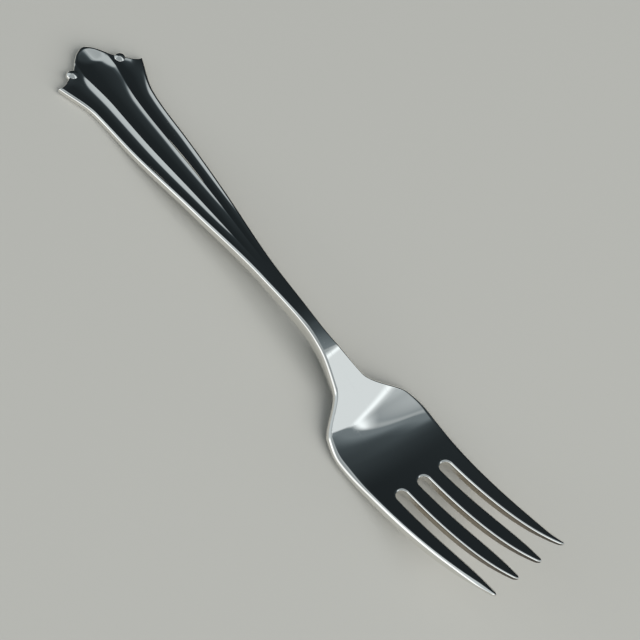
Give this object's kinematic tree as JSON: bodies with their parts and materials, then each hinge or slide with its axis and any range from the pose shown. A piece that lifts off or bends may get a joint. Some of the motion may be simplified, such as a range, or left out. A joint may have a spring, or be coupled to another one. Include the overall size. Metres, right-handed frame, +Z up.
{
  "type": "dinner fork",
  "caption": "Mirror-polished dinner fork for spearing food: curved pointed tines, shouldered bowl, arched neck and a fluted handle with a beaded fan end.",
  "frame": {"origin": "middle of the fork's length and width, on the surface that it rests on", "axes": "+X along the fork from the handle's end to the points, +Y across it, +Z up with the points curving up"},
  "size_m": [0.1904, 0.0278, 0.0189],
  "materials": {
    "polished_metal": "mirror polish with fine lengthwise hairlines"
  },
  "bodies": {
    "root": {"handle_end": "polished_metal", "handle": "polished_metal", "neck": "polished_metal", "bowl": "polished_metal", "tine_1": "polished_metal", "tine_2": "polished_metal", "tine_3": "polished_metal", "tine_4": "polished_metal"}
  },
  "joints": []
}
